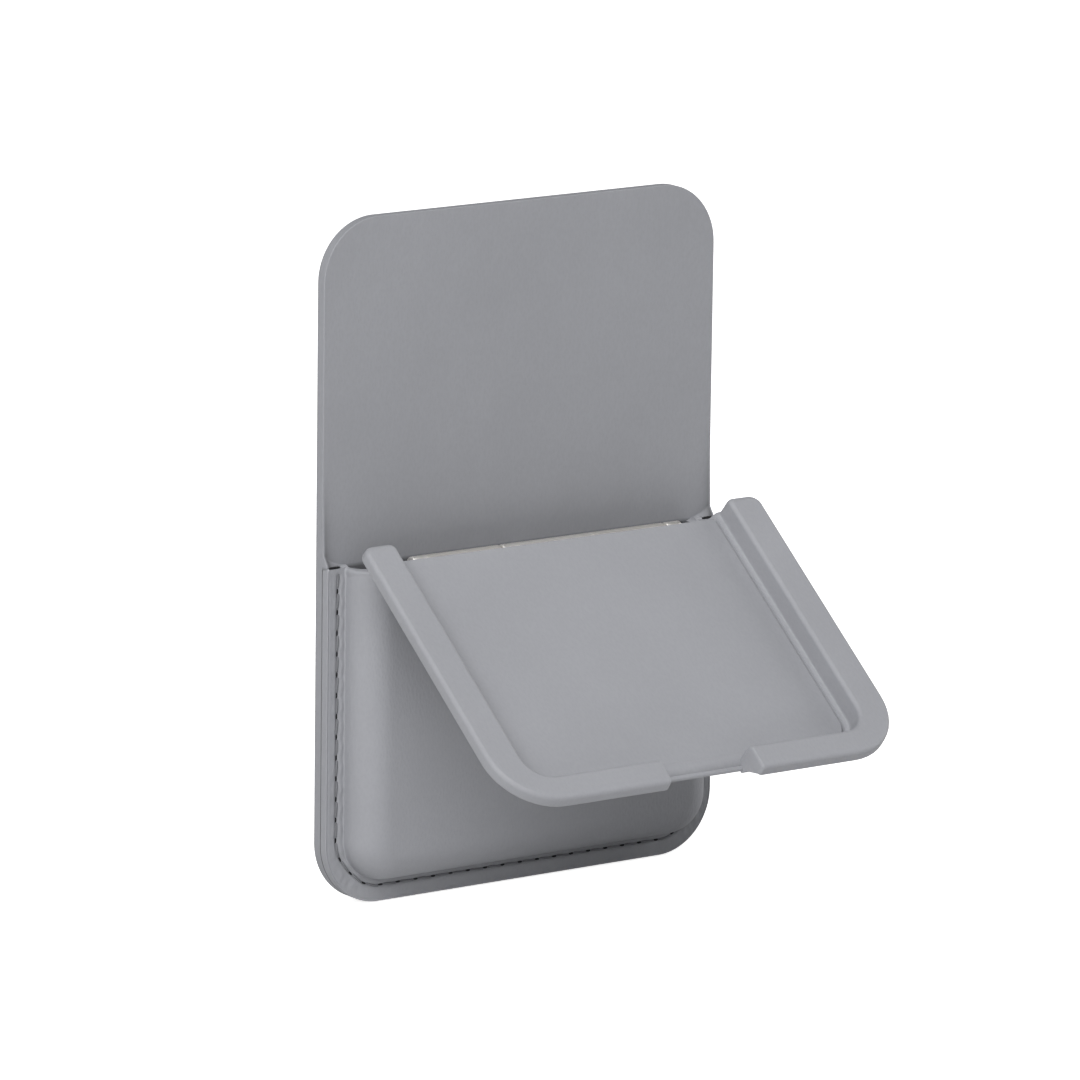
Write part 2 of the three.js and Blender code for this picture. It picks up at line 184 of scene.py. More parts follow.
def make(name, bm, place, material, body, angle=38):
    """An object from a mesh drawn in millimetres."""
    mesh = bpy.data.meshes.new(name)
    bmesh.ops.scale(bm, vec=(MM, MM, MM), verts=bm.verts)
    bm.to_mesh(mesh)
    bm.free()
    obj = bpy.data.objects.new(name, mesh)
    bpy.context.scene.collection.objects.link(obj)
    obj.matrix_world = place
    mesh.polygons.foreach_set("use_smooth", [True] * len(mesh.polygons))
    mesh.set_sharp_from_angle(angle=math.radians(angle))
    weighted = obj.modifiers.new("normals", "WEIGHTED_NORMAL")
    weighted.keep_sharp = True
    weighted.weight = 80
    mesh.materials.append(material)
    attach(obj, body)
    return obj


def box_mesh(x0, x1, y0, y1, z0, z1):
    """A box between two corners."""
    bm = bmesh.new()
    bmesh.ops.create_cube(bm, size=1)
    for v in bm.verts:
        v.co = Vector((
            x1 if v.co.x > 0 else x0,
            y1 if v.co.y > 0 else y0,
            z1 if v.co.z > 0 else z0,
        ))
    return bm


def boolean(bm, tools):
    """The first mesh less the others."""
    mesh = bpy.data.meshes.new("cut_body")
    bm.to_mesh(mesh)
    bm.free()
    body = bpy.data.objects.new("cut_body", mesh)
    bpy.context.scene.collection.objects.link(body)
    for tool in tools:
        tool_mesh = bpy.data.meshes.new("cut_tool")
        tool.to_mesh(tool_mesh)
        tool.free()
        cutter = bpy.data.objects.new("cut_tool", tool_mesh)
        bpy.context.scene.collection.objects.link(cutter)
        modifier = body.modifiers.new("cut", "BOOLEAN")
        modifier.operation = "DIFFERENCE"
        modifier.solver = "EXACT"
        modifier.object = cutter
        bpy.context.view_layer.update()
        depsgraph = bpy.context.evaluated_depsgraph_get()
        done = bpy.data.meshes.new_from_object(body.evaluated_get(depsgraph))
        body.modifiers.clear()
        body.data = done
        bpy.data.objects.remove(cutter)
    out = bmesh.new()
    out.from_mesh(body.data)
    bpy.data.objects.remove(body)
    bmesh.ops.dissolve_degenerate(out, edges=out.edges, dist=MERGE)
    return out


# Materials, placed in metres like the objects
LEATHER_ROUGHNESS = 0.6
CREASE_ACROSS = (0.81, 0, -0.585)
CREASE_SHIFT = 0.016


def shader(name, base, roughness, metallic=0.0):
    """A material with its node tree and its main shader."""
    material = bpy.data.materials.new(name)
    material.use_nodes = True
    bsdf = material.node_tree.nodes["Principled BSDF"]
    bsdf.inputs["Base Color"].default_value = (*base, 1)
    bsdf.inputs["Roughness"].default_value = roughness
    bsdf.inputs["Metallic"].default_value = metallic
    return material, material.node_tree, bsdf


def node(tree, kind, **values):
    """A node with its inputs or settings."""
    made = tree.nodes.new(kind)
    for key, value in values.items():
        if key in made.inputs:
            made.inputs[key].default_value = value
        else:
            setattr(made, key, value)
    return made


def crease_band(tree, place, strength):
    """Creases show most along a slanting band across the panel and above the pocket."""
    link = tree.links.new
    across = node(tree, "ShaderNodeVectorMath", operation="DOT_PRODUCT")
    across.inputs[1].default_value = CREASE_ACROSS
    link(place.outputs["Object"], across.inputs[0])
    shifted = node(tree, "ShaderNodeMath", operation="ADD")
    shifted.inputs[1].default_value = CREASE_SHIFT
    link(across.outputs["Value"], shifted.inputs[0])
    apart = node(tree, "ShaderNodeMath", operation="ABSOLUTE")
    link(shifted.outputs["Value"], apart.inputs[0])
    band = node(tree, "ShaderNodeMapRange", **{
        "From Min": 0.002, "From Max": 0.011, "To Min": strength, "To Max": 0.3 * strength,
    })
    link(apart.outputs["Value"], band.inputs["Value"])
    split = node(tree, "ShaderNodeSeparateXYZ")
    link(place.outputs["Object"], split.inputs["Vector"])
    low = node(tree, "ShaderNodeMapRange", **{
        "From Min": 0.004, "From Max": 0.016, "To Min": 0.9 * strength, "To Max": 0.0,
    })
    link(split.outputs["Z"], low.inputs["Value"])
    most = node(tree, "ShaderNodeMath", operation="MAXIMUM")
    link(band.outputs["Result"], most.inputs[0])
    link(low.outputs["Result"], most.inputs[1])
    return most.outputs["Value"]


def painted_fold_shade(tree, place, tone):
    """Painted shade: darker in the fold beside the edge, and inside the pocket's mouth."""
    link = tree.links.new
    fold = node(tree, "ShaderNodeAttribute", attribute_name="fold")
    unshaded = node(tree, "ShaderNodeMath", operation="SUBTRACT")
    unshaded.inputs[0].default_value = 1.0
    link(fold.outputs["Fac"], unshaded.inputs[1])
    split = node(tree, "ShaderNodeSeparateXYZ")
    link(place.outputs["Object"], split.inputs["Vector"])
    # Painted shade inside the pocket's mouth, darker further down
    mouth = node(tree, "ShaderNodeMapRange", **{
        "From Min": -0.0009, "From Max": -0.0003, "To Min": 0.35, "To Max": 1.0,
    })
    link(split.outputs["Z"], mouth.inputs["Value"])
    # The panel's edge stays out of this shade
    edge = node(tree, "ShaderNodeMapRange", **{"From Min": -0.00216, "From Max": -0.0021})
    link(split.outputs["Y"], edge.inputs["Value"])
    shade = node(tree, "ShaderNodeMath", operation="MAXIMUM")
    link(mouth.outputs["Result"], shade.inputs[0])
    link(edge.outputs["Result"], shade.inputs[1])
    first = node(tree, "ShaderNodeMath", operation="MULTIPLY")
    link(unshaded.outputs["Value"], first.inputs[0])
    link(shade.outputs["Value"], first.inputs[1])
    second = node(tree, "ShaderNodeMath", operation="MULTIPLY")
    link(first.outputs["Value"], second.inputs[0])
    link(tone, second.inputs[1])
    return second.outputs["Value"]


def leather(name, base, grain=1.0, creases=0.0, with_fold_shade=False):
    """Smooth coated leather: fine pebbled grain, a little tone, and soft creases."""
    material, tree, bsdf = shader(name, base, LEATHER_ROUGHNESS)
    link = tree.links.new
    place = node(tree, "ShaderNodeTexCoord")
    pebble = node(tree, "ShaderNodeTexVoronoi", Scale=2300.0, Randomness=1.0, feature="SMOOTH_F1")
    pebble.inputs["Smoothness"].default_value = 0.6
    stretch = node(tree, "ShaderNodeMapping", Scale=(1.25, 1.0, 0.62), Rotation=(0, 0.35, 0))
    link(place.outputs["Object"], stretch.inputs["Vector"])
    link(stretch.outputs["Vector"], pebble.inputs["Vector"])
    fine = node(tree, "ShaderNodeTexNoise", Scale=5200.0, Detail=3.0, Roughness=0.6)
    link(place.outputs["Object"], fine.inputs["Vector"])
    patch = node(tree, "ShaderNodeTexNoise", Scale=38.0, Detail=4.0, Roughness=0.55)
    link(place.outputs["Object"], patch.inputs["Vector"])
    # Grain shows more in some patches than in others
    depth = node(tree, "ShaderNodeMapRange", **{
        "From Min": 0.35, "From Max": 0.7, "To Min": 0.25, "To Max": 1.0,
    })
    link(patch.outputs["Fac"], depth.inputs["Value"])
    scaled = node(tree, "ShaderNodeMath", operation="MULTIPLY")
    link(pebble.outputs["Distance"], scaled.inputs[0])
    link(depth.outputs["Result"], scaled.inputs[1])
    first = node(tree, "ShaderNodeBump", Strength=0.5 * grain, Distance=0.00012)
    link(scaled.outputs["Value"], first.inputs["Height"])
    second = node(tree, "ShaderNodeBump", Strength=0.35 * grain, Distance=0.00003)
    link(fine.outputs["Fac"], second.inputs["Height"])
    link(first.outputs["Normal"], second.inputs["Normal"])
    last = second
    if creases:
        lines = node(
            tree, "ShaderNodeTexNoise",
            Scale=150.0, Detail=4.0, Roughness=0.65, noise_type="RIDGED_MULTIFRACTAL",
        )
        slant = node(tree, "ShaderNodeMapping", Scale=(1.0, 1.0, 0.42), Rotation=(0, 0.62, 0))
        link(place.outputs["Object"], slant.inputs["Vector"])
        link(slant.outputs["Vector"], lines.inputs["Vector"])
        third = node(tree, "ShaderNodeBump", Distance=0.00022)
        link(crease_band(tree, place, creases), third.inputs["Strength"])
        link(lines.outputs["Fac"], third.inputs["Height"])
        link(last.outputs["Normal"], third.inputs["Normal"])
        last = third
    link(last.outputs["Normal"], bsdf.inputs["Normal"])
    # Tone: faint clouds, and the pits a little darker
    tone = node(tree, "ShaderNodeMapRange", **{
        "From Min": 0.3, "From Max": 0.7, "To Min": 0.965, "To Max": 1.035,
    })
    link(patch.outputs["Fac"], tone.inputs["Value"])
    pits = node(tree, "ShaderNodeMapRange", **{
        "From Min": 0.0, "From Max": 0.8, "To Min": 0.97, "To Max": 1.02,
    })
    link(pebble.outputs["Distance"], pits.inputs["Value"])
    both = node(tree, "ShaderNodeMath", operation="MULTIPLY")
    link(tone.outputs["Result"], both.inputs[0])
    link(pits.outputs["Result"], both.inputs[1])
    colour = node(tree, "ShaderNodeVectorMath", operation="SCALE")
    colour.inputs[0].default_value = base
    tone_and_painted_shade = both.outputs["Value"]
    # The lining's fold and mouth get painted shade on top of the leather's tone
    if with_fold_shade:
        tone_and_painted_shade = painted_fold_shade(tree, place, tone_and_painted_shade)
    link(tone_and_painted_shade, colour.inputs["Scale"])
    link(colour.outputs["Vector"], bsdf.inputs["Base Color"])
    gloss = node(tree, "ShaderNodeMapRange", **{
        "To Min": LEATHER_ROUGHNESS - 0.05, "To Max": LEATHER_ROUGHNESS + 0.07,
    })
    link(patch.outputs["Fac"], gloss.inputs["Value"])
    link(gloss.outputs["Result"], bsdf.inputs["Roughness"])
    return material


def brushed(name, base, roughness):
    """Metal with fine lines along X."""
    material, tree, bsdf = shader(name, base, roughness, metallic=1.0)
    link = tree.links.new
    place = node(tree, "ShaderNodeTexCoord")
    stretch = node(tree, "ShaderNodeMapping", Scale=(40.0, 4000.0, 4000.0))
    noise = node(tree, "ShaderNodeTexNoise", Scale=1.0, Detail=3.0)
    link(place.outputs["Object"], stretch.inputs["Vector"])
    link(stretch.outputs["Vector"], noise.inputs["Vector"])
    spread = node(tree, "ShaderNodeMapRange", **{
        "To Min": roughness - 0.08, "To Max": roughness + 0.12,
    })
    link(noise.outputs["Fac"], spread.inputs["Value"])
    link(spread.outputs["Result"], bsdf.inputs["Roughness"])
    bump = node(tree, "ShaderNodeBump", Strength=0.25, Distance=0.00002)
    link(noise.outputs["Fac"], bump.inputs["Height"])
    link(bump.outputs["Normal"], bsdf.inputs["Normal"])
    return material


def moulded(name, base, roughness):
    """Fine matt moulded plastic."""
    material, tree, bsdf = shader(name, base, roughness)
    link = tree.links.new
    place = node(tree, "ShaderNodeTexCoord")
    noise = node(tree, "ShaderNodeTexNoise", Scale=3500.0, Detail=2.0)
    link(place.outputs["Object"], noise.inputs["Vector"])
    bump = node(tree, "ShaderNodeBump", Strength=0.3, Distance=0.00003)
    link(noise.outputs["Fac"], bump.inputs["Height"])
    link(bump.outputs["Normal"], bsdf.inputs["Normal"])
    return material


def twisted(name, base):
    """Sewing thread: bands that run round it."""
    material, tree, bsdf = shader(name, base, 0.75)
    link = tree.links.new
    place = node(tree, "ShaderNodeTexCoord")
    turn = node(tree, "ShaderNodeMapping", Rotation=(0, 0.8, 0))
    wave = node(tree, "ShaderNodeTexWave", Scale=2600.0, Distortion=1.5, Detail=1.0)
    link(place.outputs["Object"], turn.inputs["Vector"])
    link(turn.outputs["Vector"], wave.inputs["Vector"])
    bump = node(tree, "ShaderNodeBump", Strength=0.6, Distance=0.00006)
    link(wave.outputs["Fac"], bump.inputs["Height"])
    link(bump.outputs["Normal"], bsdf.inputs["Normal"])
    return material


# Colours and finishes
GREY = (0.272, 0.276, 0.295)
# The panel's grey is the leather grey made a little darker: painted shade on the panel's front
SHADED_PANEL_GREY = (0.256, 0.260, 0.278)
cover_mat = leather("leather_cover", GREY, grain=0.8)
lid_mat = leather("leather_lid", GREY, grain=0.35)
# The panel's lining: painted shade from its darker grey and from the fold attribute
panel_mat = leather("leather_panel_lining", SHADED_PANEL_GREY, grain=0.8, creases=1.0, with_fold_shade=True)
floor_mat = leather("leather_lid_lining", GREY, grain=0.15)
# One hinge metal in a lit and a shaded copy: painted light on the pocket's knuckles, painted shade on the
# lid's
lit_hinge_metal = brushed("hinge_lit", (0.97, 0.94, 0.89), 0.38)
shaded_hinge_metal = brushed("hinge_shaded", (0.86, 0.83, 0.78), 0.42)
pin_mat = brushed("pin_steel", (0.55, 0.55, 0.55), 0.3)
sheet_mat = brushed("sheet_steel", (0.55, 0.55, 0.54), 0.35)
magnet_mat = brushed("magnet_nickel", (0.6, 0.6, 0.62), 0.25)
board_mat = moulded("moulded_shell", (0.06, 0.062, 0.067), 0.6)
tray_mat = moulded("moulded_tray", GREY, 0.6)
thread_mat = twisted("thread_grey", (0.17, 0.173, 0.185))
# Near black, for painted shade in the needle holes and inside the ears' openings
hole_shade_mat, _, _ = shader("needle_hole_shade", (0.004, 0.004, 0.005), 0.9)

# Back cover: the rear face, wrapped round to a hairline seam at the back of the panel's edge
REAR_EDGE = quarter_round(REAR_ROUND, 12)
SEAM_STEP = 7
SEAM_LIP = 0.03
seam_inset, seam_depth = REAR_EDGE[SEAM_STEP]


def panel_loop(inset):
    """The panel's outline, drawn in by a distance."""
    corner = PANEL_CORNER - inset
    return rect(PANEL_HALF - inset, inset - PANEL_LOW, PANEL_TOP - inset, corner, corner)


rear_rings = [(panel_loop(REAR_ROUND + 0.6), 0.0)]
rear_rings += [(panel_loop(inset), -depth) for inset, depth in REAR_EDGE[:SEAM_STEP + 1]]
rear_rings += [
    (panel_loop(seam_inset + inset), -seam_depth - SEAM_LIP)
    for inset in (SEAM_LIP, 0.8)
]
back_cover = make("back_cover", loft_flat(rear_rings), BACK_PLACE, cover_mat, "back")
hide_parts("rear_skin")

# Lining of the panel: rolled over the edge, with a ridge that grows into the pocket's ears
EDGE_ROUND = 0.13
EDGE_STEP = (0.07, 1.3)
LINING_REACHES = (
    0.2, 0.32, 0.45, 0.6, 0.75, 0.9, 1.1, 1.3, 1.55, 1.8, 2.1, 2.4, 2.7, 3.0, 3.4, 3.8, 4.2, 4.6, 5.0,
)
OUTLINE_GAP = 0.6
CORNER_STEPS = 26
RIDGE_RISE = 0.25
RIDGE_FROM, RIDGE_TO = -0.6, 13.0
RIDGE_WIDTH, RIDGE_FADE = 0.35, 0.8
EAR_LOW = -0.75
EAR_RISE = 0.85
EAR_FROM, EAR_TO = -0.4, 1.2
EAR_HIGH, EAR_FLARE = 1.7, 2.3
EAR_NARROW, EAR_WIDER = 0.6, 3.4
EAR_SPOTS = np.arange(-0.9, 2.7, 0.09)
# Painted shade beside the panel's edge: where it lies and how dark it is
FOLD_SHADE_INSET = 0.42
FOLD_SHADE_WIDTH, FOLD_SHADE_FADE = 0.2, 0.8
FOLD_SHADE_LOW, FOLD_SHADE_HIGH = -2, 16
LONG_FOLD_SHADE, EAR_FOLD_SHADE = 0.34, 0.36


def outline(half, low, high, radius):
    """Points round a rectangle, close together, each with its outward direction."""
    points = []

    def side(start, end, normal):
        reach = math.dist(start, end)
        spots = set(np.linspace(0, 1, max(int(reach / OUTLINE_GAP), 1) + 1)[:-1])
        if normal[1] == 0:
            rise = (end[1] - start[1]) / reach
            spots |= {(z - start[1]) * rise / reach for z in EAR_SPOTS}
        for t in sorted(spots):
            x = start[0] + (end[0] - start[0]) * t
            z = start[1] + (end[1] - start[1]) * t
            points.append((x, z, *normal))

    def corner(cx, cz, start):
        for i in range(CORNER_STEPS):
            a = math.radians(start + 90 * i / CORNER_STEPS)
            points.append((cx + radius * math.cos(a), cz + radius * math.sin(a), math.cos(a), math.sin(a)))

    corner(half - radius, low + radius, -90)
    side((half, low + radius), (half, high - radius), (1, 0))
    corner(half - radius, high - radius, 0)
    side((half - radius, high), (radius - half, high), (0, 1))
    corner(radius - half, high - radius, 90)
    side((-half, high - radius), (-half, low + radius), (-1, 0))
    corner(radius - half, low + radius, 180)
    side((radius - half, low), (half - radius, low), (0, -1))
    return points


def ridge(z, inset):
    """How far the lining stands up beside its edge, at a distance in from it."""
    low = (1 - smooth_step(z, RIDGE_FROM, RIDGE_TO)) ** 1.7
    long_ridge = RIDGE_RISE * low * math.exp(-max(inset - RIDGE_WIDTH, 0) / RIDGE_FADE)
    near = min(max((EAR_HIGH - z) / EAR_FLARE, 0.0), 1.0)
    reach = EAR_NARROW + EAR_WIDER * near ** 3
    ear = EAR_RISE * (1 - smooth_step(z, EAR_FROM, EAR_TO)) * (1 - smooth_step(inset, 0.3 * reach, reach))
    return (long_ridge + ear) * smooth_step(z, EAR_LOW - 0.1, EAR_LOW + 0.1)


def painted_fold_shade_at(x, z):
    """How much painted shade the lining gets beside its edge, near the pocket."""
    inset = PANEL_HALF - abs(x)
    if z > FOLD_SHADE_HIGH or z < FOLD_SHADE_LOW:
        return 0.0
    if inset < FOLD_SHADE_INSET:
        near = bell(inset, FOLD_SHADE_INSET, FOLD_SHADE_WIDTH)
    else:
        near = math.exp((FOLD_SHADE_INSET - inset) / FOLD_SHADE_FADE)
    return near * (LONG_FOLD_SHADE * (1 - smooth_step(z, 1.0, 15.0)) + EAR_FOLD_SHADE * (1 - smooth_step(z, -0.2, 2.2)))


panel_outline = outline(PANEL_HALF, -PANEL_LOW, PANEL_TOP, PANEL_CORNER)


def lining_ring(inset, depth, raised=True):
    """The panel's outline at a depth, with the ridge and the ears where it is raised."""
    ring = []
    for x, z, nx, nz in panel_outline:
        px, pz = x - nx * inset, z - nz * inset
        lift = ridge(pz, inset) * abs(nx) if raised else 0.0
        ring.append((px, -depth - lift, pz))
    return ring


lining_rings = [lining_ring(1.0, seam_depth, raised=False)]
lining_rings += [lining_ring(inset, depth, raised=False) for inset, depth in REAR_EDGE[SEAM_STEP:]]
lining_rings += [lining_ring(*EDGE_STEP, raised=False)]
lining_rings += [
    lining_ring(inset, PANEL_DEPTH - depth)
    for inset, depth in reversed(quarter_round(EDGE_ROUND, 5))
]
lining_rings += [lining_ring(reach, PANEL_DEPTH) for reach in LINING_REACHES]
panel_lining = make("lining_panel", loft(lining_rings), BACK_PLACE, panel_mat, "back", angle=50)
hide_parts("panel_lining")
# The fold attribute carries that painted shade to the panel's material
fold = panel_lining.data.attributes.new("fold", "FLOAT", "POINT")
fold.data.foreach_set("value", [painted_fold_shade_at(v.co.x / MM, v.co.z / MM) for v in panel_lining.data.vertices])

# Pocket cover: flange, seam groove and block, drawn in loops that follow the seam
SEAM_OUT = 1.16
STITCH_PITCH = 2.95
CORNER_X = BLOCK_HALF - BLOCK_CORNER
CORNER_Z = BLOCK_CORNER - BLOCK_END
SIDE_RUN = POCKET_TOP - CORNER_Z
TURN_RUN = math.pi / 2 * (BLOCK_CORNER + SEAM_OUT)
SEAM_LENGTH = 2 * (SIDE_RUN + TURN_RUN + CORNER_X)
stitch_count = round(SEAM_LENGTH / STITCH_PITCH)
stitch_pitch = SEAM_LENGTH / stitch_count
CORNER_DRAW = 0.45
GROOVE_DEPTH, GROOVE_WIDTH = 0.2, 0.22
PUCKER_RISE = 0.1
WAVE_RISE, WAVE_OUT = 0.04, 1.72
CREASE_DEPTH, CREASE_OUT = 0.06, 2.6
PLEAT_RISE, PLEAT_OUT, PLEAT_PITCH = 0.05, 1.95, 1.35
HEM_RISE = 0.09
EAR_DROP = 0.3
FLANGE_MIDDLE = (POCKET_REAR + FLANGE_FRONT) / 2
FLANGE_HALF_DEPTH = (FLANGE_FRONT - POCKET_REAR) / 2
FLANGE_CORNER = 0.6
WALL_CORNER = 0.36
EDGE = PANEL_HALF - BLOCK_HALF
DROP = (PANEL_LOW - BLOCK_END) - EDGE
EDGE_DEPTHS = (2.6, 2.8, 3.0, 3.2, 3.38)
FLANGE_OUTS = (
    2.72, 2.66, 2.6, 2.54, 2.45, 2.3, 2.05, 1.9, 1.78, 1.66, 1.54, 1.42, 1.3, 1.23, 1.16, 1.09,
    1.02, 0.92, 0.82, 0.72, 0.62, 0.52, 0.44, 0.36, 0.3,
)
LEVEL_STEP = 0.0006
BLOCK_FOOT = 0.26
FOOT_STEPS = 6
MOUTH_WIDE, MOUTH_HIGH = 1.65, 1.6
MOUTH_SHARE = 0.08
MOUTH_SPOTS, SIDE_SPOTS, TURN_SPOTS, LOW_SPOTS = 14, 150, 45, 181
TURN_STEPS = 6


def seam_stations():
    """Stations down the left side, round and up the right side: (kind, share, seam length)."""
    shares = np.concatenate([
        np.linspace(0, MOUTH_SHARE, MOUTH_SPOTS)[:-1],
        np.linspace(MOUTH_SHARE, 1, SIDE_SPOTS),
    ])
    down = [SIDE_RUN * t for t in shares]
    stations = [("left", v / SIDE_RUN, v) for v in down[:-1]]
    stations += [("turn_left", t, SIDE_RUN + TURN_RUN * t) for t in np.linspace(0, 1, TURN_SPOTS)[:-1]]
    start = SIDE_RUN + TURN_RUN
    stations += [("low", t, start + 2 * CORNER_X * t) for t in np.linspace(0, 1, LOW_SPOTS)[:-1]]
    start += 2 * CORNER_X
    stations += [("turn_right", t, start + TURN_RUN * t) for t in np.linspace(0, 1, TURN_SPOTS)[:-1]]
    start += TURN_RUN
    stations += [("right", v / SIDE_RUN, start + SIDE_RUN - v) for v in reversed(down)]
    return stations


STATIONS = seam_stations()


def pocket_point(kind, share, out, drop, top):
    """A point at a distance out from the block's outline. The foot's flange is wider by drop."""
    radius = max(BLOCK_CORNER + out, 0.05)
    half = CORNER_X + radius
    low_centre = CORNER_Z - drop
    if kind in ("left", "right"):
        z = top + (low_centre - top) * share
        return (-half if kind == "left" else half), z
    if kind == "low":
        return CORNER_X * (2 * share - 1), low_centre - radius
    angle = math.pi + math.pi / 2 * share + (math.pi / 2 if kind == "turn_right" else 0)
    centre = -CORNER_X if kind == "turn_left" else CORNER_X
    return centre + radius * math.cos(angle), low_centre + radius * math.sin(angle)


def seam_out(along):
    """The seam keeps its distance from the block, and cuts the corners a little."""
    if along > SEAM_LENGTH / 2:
        along = SEAM_LENGTH - along
    share = (along - SIDE_RUN) / TURN_RUN
    if not 0 < share < 1:
        return SEAM_OUT
    return SEAM_OUT - CORNER_DRAW * math.sin(math.pi * share) ** 2


def flange_relief(out, along):
    """Height of the flange's face: seam groove, puckers beside it, a fine edge crease, corner pleats."""
    phase = math.cos(2 * math.pi * along / stitch_pitch)
    seam = seam_out(along)
    height = -GROOVE_DEPTH * bell(out, seam, GROOVE_WIDTH) * (1 + 0.4 * phase)
    height += PUCKER_RISE * (1 - smooth_step(out, 0.4 * seam, 0.86 * seam)) * (1 - 0.55 * phase)
    height += WAVE_RISE * bell(out, WAVE_OUT, 0.26) * (1 - 0.9 * phase)
    height -= CREASE_DEPTH * bell(out, CREASE_OUT, 0.1)
    wave = math.cos(2 * math.pi * along / PLEAT_PITCH + 1.3 * math.sin(along * 1.7))
    for middle in (SIDE_RUN + TURN_RUN / 2, SEAM_LENGTH - SIDE_RUN - TURN_RUN / 2):
        height += PLEAT_RISE * wave * bell(along, middle, 5.0) * bell(out, PLEAT_OUT, 0.55)
    return height * smooth_step(min(along, SEAM_LENGTH - along), 0.0, 0.9)


def hem(z, depth):
    """A faint turned hem under the mouth, narrower towards the front."""
    share = (depth - FLANGE_FRONT) / (FRONT_DEPTH - FLANGE_FRONT)
    return HEM_RISE * bell(z, POCKET_TOP - 1.3 + 1.1 * share, 0.2)


def pocket_ring(out, depth, drop=0.0, top=POCKET_TOP, relief=0.0, corner=0.3):
    """A loop down, round and up the stations, and back across the mouth, at one depth."""
    ring = []
    for kind, share, along in STATIONS:
        x, z = pocket_point(kind, share, out, drop, top - corner)
        y = -depth
        if relief:
            y -= flange_relief(out, along) * relief
        elif kind in ("left", "right") and depth < FRONT_DEPTH - 1:
            fade = min(max(1 - out, 0), 1)
            x -= math.copysign(hem(z, depth) * fade, x)
        ring.append((x, y, z))
    half = CORNER_X + BLOCK_CORNER + out
    y = ring[-1][1]
    for i in range(1, TURN_STEPS + 1):
        a = math.pi / 2 * i / TURN_STEPS
        ring.append((half - corner + corner * math.cos(a), y, top - corner + corner * math.sin(a)))
    for i in range(TURN_STEPS):
        a = math.pi / 2 * (1 + i / TURN_STEPS)
        ring.append((corner - half + corner * math.cos(a), y, top - corner + corner * math.sin(a)))
    return ring


def ear_top(depth):
    """The flange's top edge is a soft fold."""
    t = min(abs(depth - FLANGE_MIDDLE) / FLANGE_HALF_DEPTH, 1.0)
    return FLANGE_HIGH - EAR_DROP * (1 - math.sqrt(1 - t * t * 0.96))


def wall_top(depth):
    """The side walls rise a little towards the front of the mouth."""
    return POCKET_TOP + (MOUTH_FRONT - POCKET_TOP) * smooth_step(depth, FLANGE_FRONT + 0.4, FRONT_DEPTH)


def pocket_rings():
    """From the flange's rear face round its edge, over the seam and the block to its front."""
    corner = FLANGE_CORNER
    rings = [pocket_ring(EDGE - 0.8, POCKET_REAR, DROP, ear_top(POCKET_REAR) - 0.4, corner=corner)]
    for inset, depth in quarter_round(0.06, 3):
        d = POCKET_REAR + depth
        rings.append(pocket_ring(EDGE - inset, d, DROP, ear_top(d), corner=corner))
    for d in EDGE_DEPTHS:
        rings.append(pocket_ring(EDGE, d, DROP, ear_top(d), corner=corner))
    for inset, depth in reversed(quarter_round(0.12, 5)):
        d = FLANGE_FRONT - depth
        rings.append(pocket_ring(EDGE - inset, d, DROP, ear_top(d), corner=corner))
    low_top = ear_top(FLANGE_FRONT)
    for out in FLANGE_OUTS:
        drop = DROP * smooth_step(out, 1.4, 2.5)
        low_top -= LEVEL_STEP
        rings.append(pocket_ring(out, FLANGE_FRONT, drop, low_top, 1.0, corner))
    for i in range(1, FOOT_STEPS + 1):
        a = math.pi / 2 * i / FOOT_STEPS
        top = low_top + (POCKET_TOP - low_top) * (1 - math.cos(a))
        out, d = BLOCK_FOOT * (1 - math.sin(a)), FLANGE_FRONT + BLOCK_FOOT * (1 - math.cos(a))
        rings.append(pocket_ring(out, d, top=top, relief=1 - i / FOOT_STEPS, corner=corner - 0.04 * i))
    rings += [pocket_ring(0.0, d, top=wall_top(d), corner=WALL_CORNER) for d in (4.0, 4.28)]
    for i, (inset, depth) in enumerate(reversed(quarter_round(SOFT_EDGE, 18)[:-1])):
        d = FRONT_DEPTH - depth
        rings.append(pocket_ring(-inset, d, top=wall_top(d), corner=WALL_CORNER + 0.01 * i))
    rings += [pocket_ring(-SOFT_EDGE - 0.6, FRONT_DEPTH, top=MOUTH_FRONT - 0.4, corner=FLANGE_CORNER)]
    return rings


def cavity_loop(inset):
    """The card hollow, with its mouth rolled outwards."""
    half = CAVITY_HALF - inset
    side = [(half, -6.0)]
    for i in range(TURN_STEPS + 1):
        a = math.pi / 2 * i / TURN_STEPS
        x = half + MOUTH_WIDE * (1 - math.cos(a))
        side.append((x, MOUTH_FRONT - MOUTH_HIGH + MOUTH_HIGH * math.sin(a)))
    side.append((half + MOUTH_WIDE + 0.02, 2.0))
    low = arc(half - CAVITY_CORNER + inset, CAVITY_CORNER - CAVITY_END, CAVITY_CORNER - inset, -90, 0, 14)
    loop = low + side
    return loop + [(-x, z) for x, z in reversed(loop)]


body = loft(pocket_rings())
cavity_round = SOFT_EDGE - (BLOCK_HALF - CAVITY_HALF)
cavity = [(cavity_loop(0.0), -0.5)]
cavity += [
    (cavity_loop(inset), depth - CAVITY_FRONT)
    for inset, depth in reversed(quarter_round(cavity_round, 8))
]
relief = box_mesh(-CAVITY_HALF, CAVITY_HALF, -FRONT_DEPTH - 2, -POCKET_REAR + 1, -RELIEF, 2)
# A short opening in each ear, between the flange's top edge and the lining
SLIT_FROM, SLIT_TO, SLIT_Z = 31.0, 32.8, -0.42
SLIT_TAPER = 0.12
SLIT_BACK, SLIT_MIDDLE, SLIT_FRONT = -2.7, -3.6, -4.6
SLIT_HIGH = 0.5
# Depth of the black rod that paints shade inside each opening
SLIT_SHADE_DEPTH = -3.3


